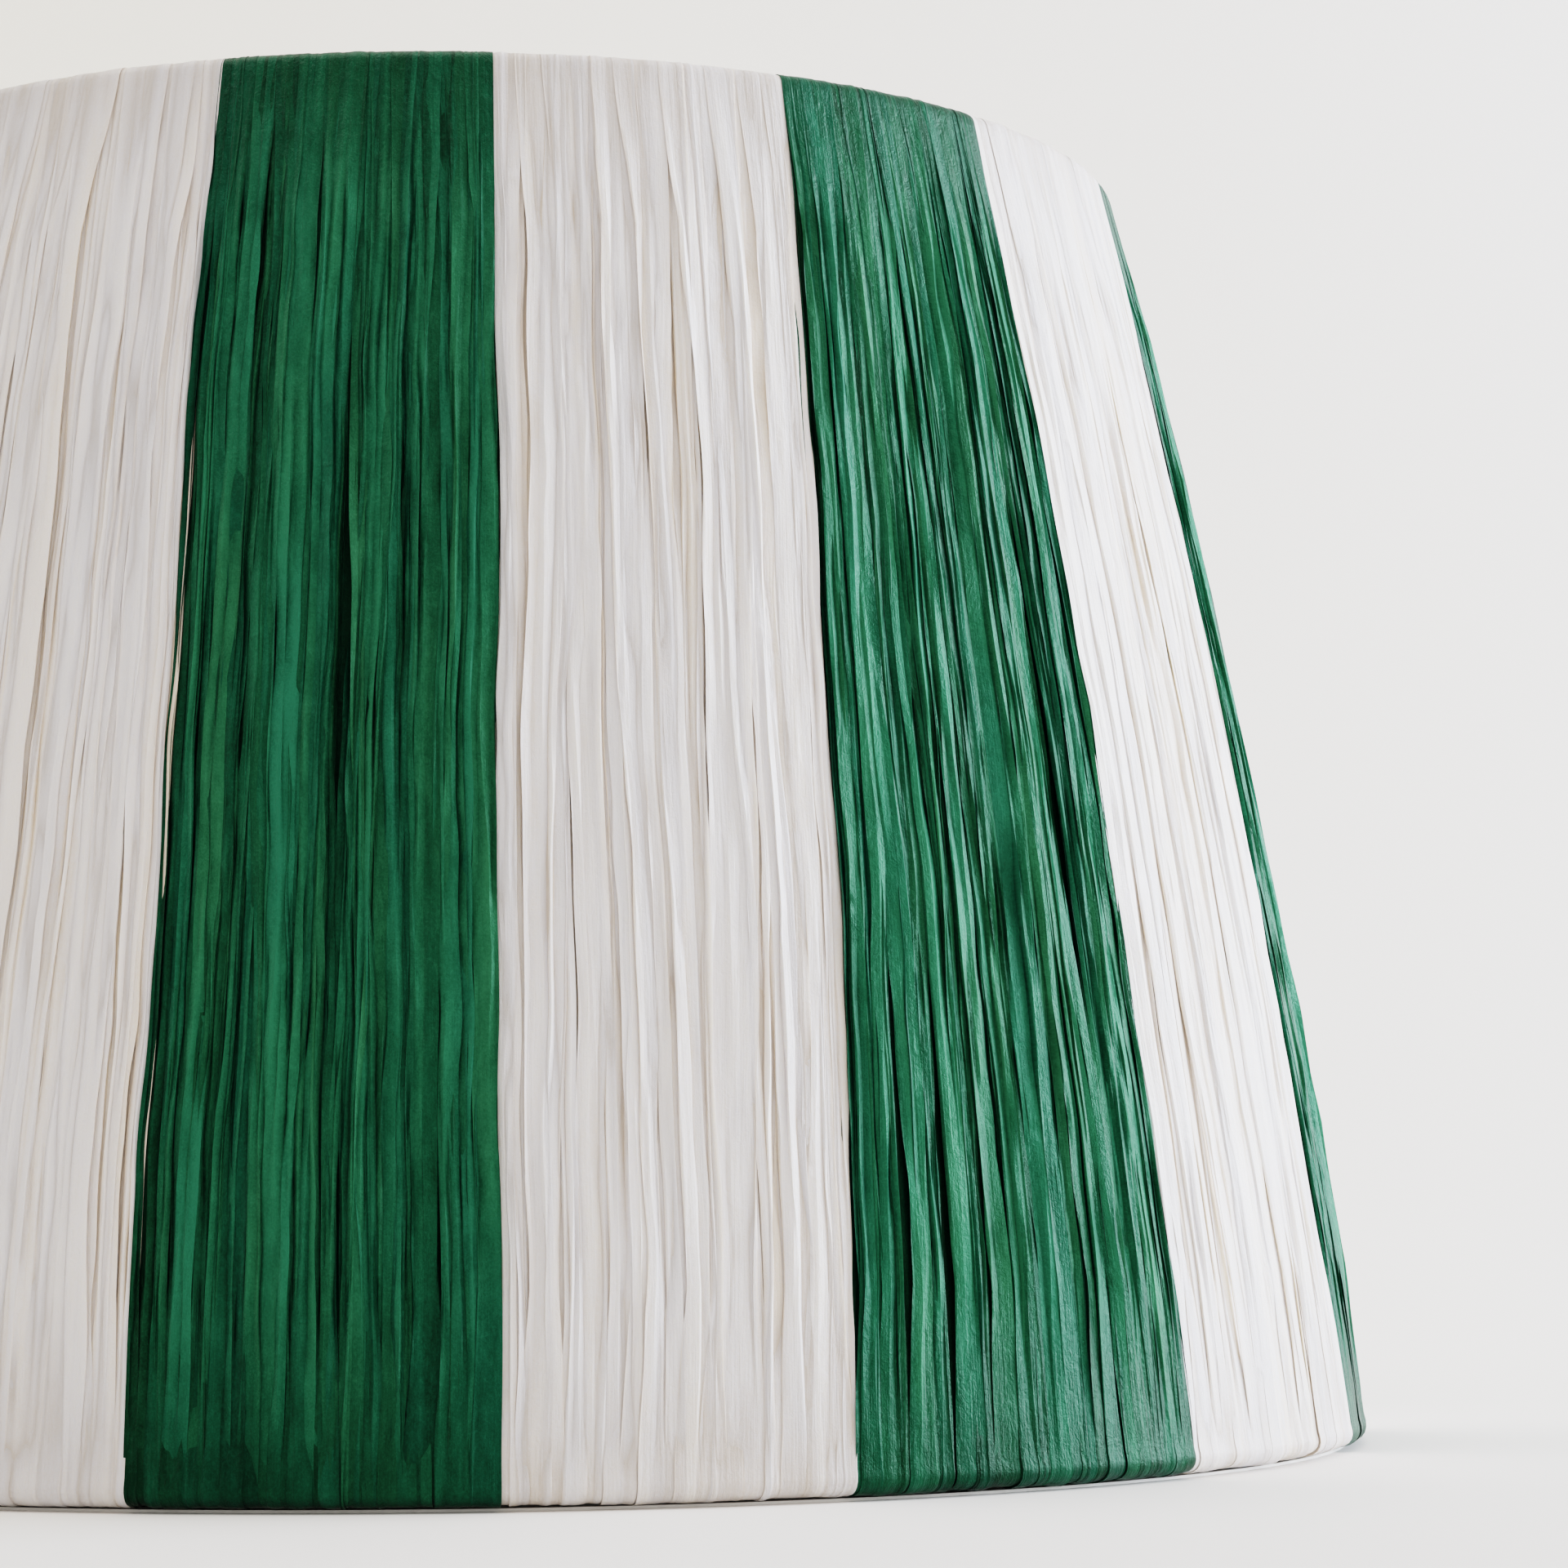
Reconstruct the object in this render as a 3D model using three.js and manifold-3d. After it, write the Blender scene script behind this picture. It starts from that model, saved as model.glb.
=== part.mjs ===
// A tapered lampshade wound with crinkled paper raffia in green and white stripes.
// Millimetres, +Z up. The origin is the centre of the circle the shade stands on.
// Angles run counter-clockwise from +X, and the fitter's hinge axis lies along X.

import * as THREE from 'three';
import { mergeVertices } from 'three/addons/utils/BufferGeometryUtils.js';
import Module from 'manifold-3d';

const wasm = await Module();
wasm.setup();

// ---- driving dimensions ----

const HEIGHT = 210;            // table to the top of the raffia rim
const BOTTOM_RING_R = 148;     // wire centre
const TOP_RING_R = 109.5;      // wire centre
const RING_WIRE = 3.5;
const STRUT_WIRE = 3;
const STRUT_COUNT = 8;
const WELD_GAP = 0.3;          // left where a weld joins two wires

const WRAP_THICKNESS = 1.2;    // several layers of ribbon
const WRAP_CLEARANCE = 0.4;    // between a ring's wire and the ribbon around it
const WRAP_SIDE_GAP = 0.16;    // degrees between two stripes
const WRAP_FOOT = 0.8;         // the raffia stops this far above the table
const OUTER_BULGE = 2.6;       // how far the outer pass stands proud at mid height
const INNER_BULGE = 0.5;

const LINER_THICKNESS = 0.5;
const LINER_CLEARANCE = 0.6;   // between the inner pass and the liner
const LINER_TOP_DROP = 14;     // liner's top edge below the rim
const LINER_FOOT_R = 148;       // the liner's foot turns out under the raffia

const FITTER_DROP = 33;        // hinge axis down to the middle of the fitter ring
const FITTER_INNER_R = 21;
const FITTER_OUTER_R = 25;
const FITTER_THICKNESS = 2;
const ARM_WIRE = 3;
const ARM_BEND_X = 97;
const PIN_END_X = 104.3;

const LUG_THICKNESS = 1.5;
const LUG_INNER_X = 101;
const LUG_RADIUS = 4.5;
const LUG_TONGUE_WIDTH = 4;
const PIN_HOLE_R = 1.9;
const HINGE_BELOW_RING = 6;

const REDUCER_BORE_R = 14.5;
const REDUCER_FLANGE_R = 23.5;
const REDUCER_FLANGE_THICKNESS = 1.5;
const REDUCER_SKIRT_THICKNESS = 1.6;
const REDUCER_SKIRT_DEPTH = 6;
const REDUCER_CLEARANCE = 0.3;

// Half of the shade, from +X to -X: the turns of ribbon in each stripe, one degree to a turn,
// and how many degrees the stripe's first edge leans from the bottom to the top.
// The other half repeats it, so the two lugs stand opposite each other.
const HALF_TURNS = [24, 24, 24, 20, 21, 22, 24, 21];
const HALF_LEANS = [0, -1.5, 2, -1, 0.3, 4.6, 0.4, 1.5];
const HALF_CIRCLE = 180;

// ---- derived places ----

const WRAP_INNER_R = RING_WIRE / 2 + WRAP_CLEARANCE;
const WRAP_OUTER_R = WRAP_INNER_R + WRAP_THICKNESS;
const BOTTOM_RING_Z = WRAP_FOOT + WRAP_OUTER_R;
const TOP_RING_Z = HEIGHT - WRAP_OUTER_R;
const HINGE_Z = TOP_RING_Z - HINGE_BELOW_RING;
const FITTER_Z = HINGE_Z - FITTER_DROP;

const bottomCentre = new THREE.Vector2(BOTTOM_RING_R, BOTTOM_RING_Z);
const topCentre = new THREE.Vector2(TOP_RING_R, TOP_RING_Z);
const slant = topCentre.clone().sub(bottomCentre).normalize();
const outward = new THREE.Vector2(slant.y, -slant.x);

// ---- materials ----

const coatedSteel = new THREE.MeshStandardMaterial({ color: 0xe9e8e4, roughness: 0.45, metalness: 0.3 });
const linerPlastic = new THREE.MeshStandardMaterial({ color: 0xf0efea, roughness: 0.5, metalness: 0 });
const reducerPlastic = new THREE.MeshStandardMaterial({ color: 0xf4f3f0, roughness: 0.35, metalness: 0 });
const greenRaffia = new THREE.MeshStandardMaterial({ color: 0x1f6b45, roughness: 0.55, metalness: 0 });
const whiteRaffia = new THREE.MeshStandardMaterial({ color: 0xe6e0d9, roughness: 0.6, metalness: 0 });

// ---- solids ----

function toManifold(geometry) {
  geometry.deleteAttribute('normal');
  geometry.deleteAttribute('uv');
  const merged = mergeVertices(geometry);
  return new wasm.Manifold(new wasm.Mesh({
    numProp: 3,
    vertProperties: new Float32Array(merged.attributes.position.array),
    triVerts: new Uint32Array(merged.index.array),
  }));
}

function toGeometry(manifold) {
  const mesh = manifold.getMesh();
  const geometry = new THREE.BufferGeometry();
  geometry.setAttribute('position', new THREE.BufferAttribute(mesh.vertProperties, 3));
  geometry.setIndex(new THREE.BufferAttribute(mesh.triVerts, 1));
  return geometry;
}

// A closed outline of [radius, height] corners, turned about the Z axis.
function turned(corners, segments) {
  const outline = corners.map(([radius, height]) => new THREE.Vector2(radius, height));
  outline.push(outline[0].clone());
  return new THREE.LatheGeometry(outline, segments).rotateX(Math.PI / 2);
}

// A round wire along a curve.
function wire(curve, diameter, steps) {
  const section = new THREE.Shape().absarc(0, 0, diameter / 2, 0, 2 * Math.PI);
  return new THREE.ExtrudeGeometry(section, {
    extrudePath: curve, steps, curveSegments: 5, bevelEnabled: false,
  });
}

// ---- raffia wraps ----

// The path of a ribbon round both rings, at a distance from the wires' centres, in the plane
// of radius and height: under the bottom ring, up outside, over the top ring, down inside.
function ribbonLoop(distance) {
  const ARC_STEPS = 5;
  const PASS_STEPS = 5;
  const points = [];
  const turnRound = (centre, side, along) => {
    for (let i = 0; i <= ARC_STEPS; i += 1) {
      const turn = Math.PI * i / ARC_STEPS;
      points.push(centre.clone()
        .addScaledVector(outward, side * distance * Math.cos(turn))
        .addScaledVector(slant, along * distance * Math.sin(turn)));
    }
  };
  const runBetween = (from, to, side, bulge) => {
    for (let i = 1; i < PASS_STEPS; i += 1) {
      const t = i / PASS_STEPS;
      const proud = distance + bulge * 4 * t * (1 - t);
      points.push(from.clone().lerp(to, t).addScaledVector(outward, side * proud));
    }
  };
  turnRound(bottomCentre, -1, -1);
  runBetween(bottomCentre, topCentre, 1, OUTER_BULGE);
  turnRound(topCentre, 1, 1);
  runBetween(topCentre, bottomCentre, -1, INNER_BULGE);
  return points;
}

// One stripe: the loop swept round the shade between two edges, each {angle, lean} in degrees.
function wrapGeometry(firstEdge, lastEdge) {
  const section = new THREE.Shape(ribbonLoop(WRAP_OUTER_R));
  section.holes.push(new THREE.Path(ribbonLoop(WRAP_INNER_R)));
  const steps = Math.round((lastEdge.angle - firstEdge.angle) / 5);
  const geometry = new THREE.ExtrudeGeometry(section, { depth: 1, steps, bevelEnabled: false });
  const place = geometry.attributes.position;
  for (let i = 0; i < place.count; i += 1) {
    const radius = place.getX(i);
    const height = place.getY(i);
    const climb = (height - HEIGHT / 2) / HEIGHT;
    const first = firstEdge.angle + firstEdge.lean * climb + WRAP_SIDE_GAP / 2;
    const last = lastEdge.angle + lastEdge.lean * climb - WRAP_SIDE_GAP / 2;
    const angle = THREE.MathUtils.degToRad(THREE.MathUtils.lerp(last, first, place.getZ(i)));
    place.setXYZ(i, radius * Math.cos(angle), radius * Math.sin(angle), height);
  }
  return geometry;
}

// The ribbon parts round a lug's tongue where the lug comes off the top ring.
function withLugNotch(geometry, side) {
  const room = WELD_GAP + 0.1;
  const reach = TOP_RING_R - LUG_INNER_X;
  const cutter = new THREE.BoxGeometry(
    reach, LUG_TONGUE_WIDTH + 2 * room, LUG_THICKNESS + 2 * room,
  );
  cutter.translate(side * (LUG_INNER_X + reach / 2), 0, TOP_RING_Z);
  return toGeometry(toManifold(geometry).subtract(toManifold(cutter)));
}

function stripeEdges() {
  const edges = [];
  for (const startAngle of [0, HALF_CIRCLE]) {
    let angle = startAngle;
    HALF_TURNS.forEach((turns, i) => {
      edges.push({ angle, lean: HALF_LEANS[i] });
      angle += turns;
    });
  }
  edges.push({ angle: 2 * HALF_CIRCLE, lean: HALF_LEANS[0] });
  return edges;
}

function addWraps(group) {
  const edges = stripeEdges();
  const stripes = edges.length - 1;
  for (let i = 0; i < stripes; i += 1) {
    const green = i % 2 === 1;
    const number = Math.floor(i / 2) + 1;
    let geometry = wrapGeometry(edges[i], edges[i + 1]);
    if (i === 0 || i === stripes - 1) geometry = withLugNotch(geometry, 1);
    if (i === stripes / 2 || i === stripes / 2 - 1) geometry = withLugNotch(geometry, -1);
    const mesh = new THREE.Mesh(geometry, green ? greenRaffia : whiteRaffia);
    mesh.name = `${green ? 'green' : 'white'}_raffia_wrap_${number}`;
    group.add(mesh);
  }
}

// ---- wire frame ----

function addRing(group, name, radius, height) {
  const mesh = new THREE.Mesh(new THREE.TorusGeometry(radius, RING_WIRE / 2, 10, 80), coatedSteel);
  mesh.name = name;
  mesh.position.z = height;
  group.add(mesh);
}

function addStruts(group) {
  const fullLength = topCentre.distanceTo(bottomCentre);
  const length = fullLength - RING_WIRE - 2 * WELD_GAP;
  const middle = bottomCentre.clone().lerp(topCentre, 0.5);
  const tilt = Math.atan2(-slant.x, slant.y);
  for (let i = 0; i < STRUT_COUNT; i += 1) {
    const spoke = new THREE.Group();
    spoke.rotation.z = 2 * Math.PI * (i + 0.5) / STRUT_COUNT;
    const geometry = new THREE.CylinderGeometry(STRUT_WIRE / 2, STRUT_WIRE / 2, length, 10);
    const mesh = new THREE.Mesh(geometry.rotateX(Math.PI / 2), coatedSteel);
    mesh.name = `frame_strut_${i + 1}`;
    mesh.position.set(middle.x, 0, middle.y);
    mesh.rotation.y = -tilt;
    spoke.add(mesh);
    group.add(spoke);
  }
}

// ---- liner ----

// The liner follows the inside of the raffia, from the table up to below the top ring.
// Its foot turns out flat under the raffia, and the shade stands on it.
function addLiner(group) {
  const depth = WRAP_OUTER_R + INNER_BULGE + LINER_CLEARANCE;
  const outerRadius = (height) => {
    const t = (height - BOTTOM_RING_Z) / (TOP_RING_Z - BOTTOM_RING_Z);
    return THREE.MathUtils.lerp(BOTTOM_RING_R, TOP_RING_R, t) - depth / outward.x;
  };
  const top = HEIGHT - LINER_TOP_DROP;
  const mesh = new THREE.Mesh(turned([
    [outerRadius(0) - LINER_THICKNESS, 0],
    [LINER_FOOT_R, 0],
    [LINER_FOOT_R, LINER_THICKNESS],
    [outerRadius(LINER_THICKNESS), LINER_THICKNESS],
    [outerRadius(top), top],
    [outerRadius(top) - LINER_THICKNESS, top],
  ], 96), linerPlastic);
  mesh.name = 'plastic_liner';
  group.add(mesh);
}

// ---- reversible fitter ----

// A flat lug with the hinge hole, on a tongue welded to the inside of the top ring.
function lugGeometry(side) {
  const outline = new THREE.Shape();
  outline.moveTo(-LUG_RADIUS, HINGE_BELOW_RING + LUG_THICKNESS / 2);
  outline.lineTo(-LUG_RADIUS, 0);
  outline.absarc(0, 0, LUG_RADIUS, Math.PI, 2 * Math.PI);
  outline.lineTo(LUG_RADIUS, HINGE_BELOW_RING + LUG_THICKNESS / 2);
  outline.closePath();
  outline.holes.push(new THREE.Path().absarc(0, 0, PIN_HOLE_R, 0, 2 * Math.PI));
  const plate = new THREE.ExtrudeGeometry(outline, {
    depth: LUG_THICKNESS, curveSegments: 10, bevelEnabled: false,
  });
  plate.rotateX(Math.PI / 2).rotateZ(Math.PI / 2).translate(LUG_INNER_X, 0, HINGE_Z);

  const tongueEnd = TOP_RING_R - RING_WIRE / 2 - WELD_GAP;
  const tongueLength = tongueEnd - LUG_INNER_X;
  const tongue = new THREE.BoxGeometry(tongueLength, LUG_TONGUE_WIDTH, LUG_THICKNESS);
  tongue.translate(LUG_INNER_X + tongueLength / 2, 0, TOP_RING_Z);
  const geometry = toGeometry(toManifold(plate).add(toManifold(tongue)));
  return side > 0 ? geometry : geometry.rotateZ(Math.PI);
}

// A bent wire arm. Its straight end is the hinge pin, and its other end meets the fitter ring.
function armGeometry(side) {
  const path = new THREE.CurvePath();
  const at = (x, z) => new THREE.Vector3(side * x, 0, z);
  const reach = FITTER_OUTER_R + WELD_GAP;
  const bend = 8;
  const down = new THREE.Vector2(reach + bend - ARM_BEND_X, -FITTER_DROP).normalize();
  const shoulder = at(ARM_BEND_X, HINGE_Z);
  const shoulderEnd = at(ARM_BEND_X + bend * down.x, HINGE_Z + bend * down.y);
  const elbowStart = at(reach + bend - bend * down.x, FITTER_Z - bend * down.y);
  const elbow = at(reach + bend, FITTER_Z);
  const shoulderStart = at(ARM_BEND_X + 2, HINGE_Z);
  path.add(new THREE.LineCurve3(at(PIN_END_X, HINGE_Z), shoulderStart));
  path.add(new THREE.QuadraticBezierCurve3(shoulderStart, shoulder, shoulderEnd));
  path.add(new THREE.LineCurve3(shoulderEnd, elbowStart));
  path.add(new THREE.QuadraticBezierCurve3(elbowStart, elbow, at(reach, FITTER_Z)));
  return wire(path, ARM_WIRE, 30);
}

function addFitter(group) {
  const ring = new THREE.Mesh(turned([
    [FITTER_INNER_R, -FITTER_THICKNESS / 2],
    [FITTER_OUTER_R, -FITTER_THICKNESS / 2],
    [FITTER_OUTER_R, FITTER_THICKNESS / 2],
    [FITTER_INNER_R, FITTER_THICKNESS / 2],
  ], 40), coatedSteel);
  ring.name = 'fitter_ring';
  ring.position.z = FITTER_Z;
  group.add(ring);

  [1, -1].forEach((side, i) => {
    const arm = new THREE.Mesh(armGeometry(side), coatedSteel);
    arm.name = `fitter_arm_${i + 1}`;
    group.add(arm);
    const lug = new THREE.Mesh(lugGeometry(side), coatedSteel);
    lug.name = `hinge_lug_${i + 1}`;
    group.add(lug);
  });
}

// The plastic reducer rests on the fitter ring by its flange and lines the ring's bore.
function addReducer(group) {
  const skirtR = FITTER_INNER_R - REDUCER_CLEARANCE;
  const floor = REDUCER_FLANGE_THICKNESS - REDUCER_SKIRT_DEPTH;
  const mesh = new THREE.Mesh(turned([
    [REDUCER_BORE_R, floor],
    [skirtR, floor],
    [skirtR, 0],
    [REDUCER_FLANGE_R, 0],
    [REDUCER_FLANGE_R, REDUCER_FLANGE_THICKNESS],
    [skirtR - REDUCER_SKIRT_THICKNESS, REDUCER_FLANGE_THICKNESS],
    [skirtR - REDUCER_SKIRT_THICKNESS, floor + REDUCER_FLANGE_THICKNESS],
    [REDUCER_BORE_R, floor + REDUCER_FLANGE_THICKNESS],
  ], 40), reducerPlastic);
  mesh.name = 'reducer_ring';
  mesh.position.z = FITTER_Z + FITTER_THICKNESS / 2 + REDUCER_CLEARANCE;
  group.add(mesh);
}

const shade = new THREE.Group();
addRing(shade, 'top_ring', TOP_RING_R, TOP_RING_Z);
addRing(shade, 'bottom_ring', BOTTOM_RING_R, BOTTOM_RING_Z);
addStruts(shade);
addLiner(shade);
addFitter(shade);
addReducer(shade);
addWraps(shade);

export default shade;
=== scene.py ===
# The look of a tapered lampshade wound with green and white paper raffia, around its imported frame.
# Metres, +Z up. Angles run counter-clockwise from +X, as in the CAD part.
import math
from dataclasses import dataclass

import bmesh
import bpy
import numpy as np
from mathutils import Matrix, Vector


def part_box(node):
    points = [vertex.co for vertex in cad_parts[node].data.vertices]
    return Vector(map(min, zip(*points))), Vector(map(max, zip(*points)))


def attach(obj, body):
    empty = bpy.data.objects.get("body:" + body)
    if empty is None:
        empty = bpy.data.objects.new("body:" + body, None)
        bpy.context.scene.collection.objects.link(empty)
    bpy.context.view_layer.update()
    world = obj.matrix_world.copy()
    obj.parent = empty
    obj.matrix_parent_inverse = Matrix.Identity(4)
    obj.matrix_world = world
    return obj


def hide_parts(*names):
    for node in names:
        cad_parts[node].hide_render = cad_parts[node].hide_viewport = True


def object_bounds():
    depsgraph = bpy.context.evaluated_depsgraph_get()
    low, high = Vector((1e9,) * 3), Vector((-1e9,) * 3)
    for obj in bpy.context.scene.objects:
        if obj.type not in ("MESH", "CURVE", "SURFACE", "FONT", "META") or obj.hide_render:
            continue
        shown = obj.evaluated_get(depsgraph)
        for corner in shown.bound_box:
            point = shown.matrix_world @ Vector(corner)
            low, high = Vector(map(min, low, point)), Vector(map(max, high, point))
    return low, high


MM = 0.001
SEED = 11

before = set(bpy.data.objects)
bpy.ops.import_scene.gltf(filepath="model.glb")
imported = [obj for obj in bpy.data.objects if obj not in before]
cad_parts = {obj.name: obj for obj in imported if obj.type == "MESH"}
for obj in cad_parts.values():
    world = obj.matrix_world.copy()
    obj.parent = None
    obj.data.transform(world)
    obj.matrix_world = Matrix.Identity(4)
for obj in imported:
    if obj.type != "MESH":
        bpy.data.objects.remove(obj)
cad_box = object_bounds()

# ---- design values shared with the CAD part ----

RING_WIRE = 3.5 * MM
STRUTS = 8
LINER_DEPTH = 4.45 * MM        # from the line between the rings' wires in to the liner's outer face
LUG_RADIUS = 4.5 * MM
LUG_THICKNESS = 1.5 * MM
LUG_TONGUE_WIDTH = 4 * MM
PIN_HOLE_R = 1.9 * MM
ARM_WIRE = 3 * MM
ARM_BEND_X = 97 * MM
FITTER_INNER_R = 21 * MM
REDUCER_BORE_R = 14.5 * MM
REDUCER_WALL = 1.6 * MM
REDUCER_FLOOR = 1.5 * MM
REDUCER_SKIRT_R = 20.7 * MM
GUSSETS = 8
LINER_SHEET = 0.4 * MM
HALF_TURNS = (24, 24, 24, 20, 21, 22, 24, 21)      # degrees that each stripe of one half takes up
HALF_LEANS = (0, -1.5, 2, -1, 0.3, 4.6, 0.4, 1.5)  # degrees that its first edge leans, foot to top

# ---- places taken from the frame ----

HEIGHT = cad_box[1].z


def ring_centre(node):
    """(radius, height) of the middle of a ring's wire."""
    low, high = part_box(node)
    return np.array([high.x - RING_WIRE / 2, (low.z + high.z) / 2])


BOTTOM = ring_centre("bottom_ring")
TOP = ring_centre("top_ring")
SLANT = (TOP - BOTTOM) / np.linalg.norm(TOP - BOTTOM)
OUTWARD = np.array([SLANT[1], -SLANT[0]])

# ---- raffia ----

STRIPES = 16
OUTER_ROWS = 150               # rows of points along the outer pass, over a ring, and inside
ARC_ROWS = 12
INNER_ROWS = 14
TOP_LAYER = dict(distance=2.85 * MM, bulge=2.2 * MM)
UNDER_LAYER = dict(distance=2.5 * MM, bulge=2.0 * MM)
PRESSED = 0.12                 # share of a pass over which the rings hold the ribbon flat
INSIDE_PRESS = 0.25            # how loose the inner pass is, against the outer pass
CORNER = 0.72                  # below 1 the turn over a ring is tighter than round
FOOT_SAG = 0.6 * MM
FOOT_ZONE = 6 * MM
LUG_ROOM = 3.2 * MM            # room left on each side of a hinge lug's tongue
LUG_ANGLES = (0, 180, 360)
LUG_REACH = 7.5 * MM
LUG_FADE = 5 * MM
PAPER = 0.15 * MM
GREEN_PROUD = 0.25 * MM        # the green lies this much over the white
SPREAD = 0.65 * MM             # how far a turn of the top layer wanders sideways
UNDER_SPREAD = 0.4 * MM
CROSSING = 1.15 * MM           # how far a turn slants across its neighbours
SWAY = 0.22 * MM               # how far neighbouring turns wander together
OVERSHOOT = 0.1 * MM           # how far a turn may pass the stripe's edge
UNDER_OVERSHOOT = 1.0 * MM
UNDER_PITCH = 3.4 * MM
UNDER_WIDTH = (4.5 * MM, 6.0 * MM)
UNDER_PAINTED_SHADE = -0.4             # painted shade: added to the relief, so that the under layer seen in the gaps is coloured darker
EDGE_PAINTED_SHADOW = 0.45              # painted shadow: taken from the relief at a turn's two edges, so that each edge is coloured darker
EDGE_WAVE = 0.28 * MM
WAVES = ((0.045, 1.0), (0.11, 0.6), (0.23, 0.3))   # radians per millimetre and share of an edge's waver
COLUMN_DRIFTS = ((0.42, 60 * MM, False), (0.22, 22 * MM, True))  # share of a facet's size, length, sharp
COLUMN_JITTER = 0.11 * MM
WANDERS = ((1.0, 170 * MM, False), (0.4, 70 * MM, False), (0.14, 26 * MM, True))
LIFT_WANDER = 0.12 * MM
FOOT_UNEVEN = (-0.25 * MM, 0.05 * MM)
RIM_RELIEF = 0.22              # share of relief, lift, tilt and the edges' painted shadow left where the rings press
RIM_LIFT = 0.2
RIM_TILT = 0.15
RIM_PAINTED_SHADOW = 0.25
UNDERSIDE_WIDTH = 0.8
# painted shade: the relief given to a ribbon's underside, so that it is coloured darker
UNDERSIDE_PAINTED_SHADE = -0.5
WIDE_FACET = 1.3               # millimetres, above which a facet gets a point in its middle
CREASE_ANGLE = math.radians(8)


class Loop:
    """The way of a ribbon round both rings, as rows of radius and height with outward normals.

    distance is how far it stays from the middles of the rings' wires, and bulge is how much more
    the outer pass stands out half way. It starts half way down the inner pass, which the liner
    hides, so the closing row stays out of sight. press is 0 on the rings, where the ribbon is
    pulled flat, and 1 between them. along is the way gone, in metres. climb is the height, from
    -0.5 at the foot to 0.5 at the top. foot is 1 under the bottom ring. beside_lug is 1 where a
    hinge lug's tongue comes off the top ring.
    """

    def __init__(self, distance, bulge):
        places, normals, press = [], [], []

        def add(place, normal, pressed):
            places.append(place)
            normals.append(normal)
            press.append(pressed)

        def straight(start, end, side, swelling, steps, first, last):
            for t in np.linspace(first, last, steps, endpoint=False):
                swell = swelling * 4 * t * (1 - t)
                out = side * OUTWARD
                loose = min(1.0, min(t, 1 - t) / PRESSED) ** 1.3
                if side < 0:
                    loose *= INSIDE_PRESS
                add(start + (end - start) * t + out * (distance + swell), out, loose)

        def turn(centre, side, along, sag):
            for a in np.linspace(0, math.pi, ARC_ROWS, endpoint=False):
                c, s = math.cos(a), math.sin(a)
                out = side * OUTWARD * c + along * SLANT * s
                outward = math.copysign(abs(c) ** CORNER, c)
                corner = side * OUTWARD * outward + along * SLANT * s ** CORNER
                add(centre + corner * distance + out * sag * s, out, 0.0)

        straight(TOP, BOTTOM, -1, 0, INNER_ROWS // 2, 0.5, 1)
        turn(BOTTOM, -1, -1, FOOT_SAG)
        straight(BOTTOM, TOP, 1, bulge, OUTER_ROWS, 0, 1)
        turn(TOP, 1, 1, 0)
        straight(TOP, BOTTOM, -1, 0, INNER_ROWS // 2, 0, 0.5)
        self.place = np.array(places)
        self.normal = np.array(normals)
        self.press = np.array(press)
        gaps = np.linalg.norm(self.place - np.roll(self.place, 1, axis=0), axis=1)
        gaps[0] = 0
        self.along = np.cumsum(gaps)
        self.length = self.along[-1] + np.linalg.norm(self.place[0] - self.place[-1])
        self.climb = (self.place[:, 1] - HEIGHT / 2) / HEIGHT
        self.foot = np.clip(1 - (self.place[:, 1] - BOTTOM[1]) / FOOT_ZONE, 0, 1)
        tongue = TOP - OUTWARD * distance
        away = np.linalg.norm(self.place - tongue, axis=1)
        nearness = np.clip((LUG_REACH - away) / LUG_FADE, 0, 1)
        self.beside_lug = nearness * nearness * (3 - 2 * nearness)


def drift(rng, loop, wavelength, count=None, sharp=False):
    """Random wander along the loop, smooth or in straight runs, closing on itself."""
    knots = max(3, round(loop.length / wavelength))
    values = rng.standard_normal((knots, count or 1))
    x = loop.along / loop.length * knots
    i = np.floor(x).astype(int)
    f = (x - i)[:, None]
    a, b, c, d = (values[(i + k) % knots] for k in (-1, 0, 1, 2))
    if sharp:
        out = b + (c - b) * f
    else:
        out = b + 0.5 * f * (c - a + f * (2 * a - 5 * b + 4 * c - d + f * (3 * (b - c) + d - a)))
    return out if count else out[:, 0]


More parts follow.
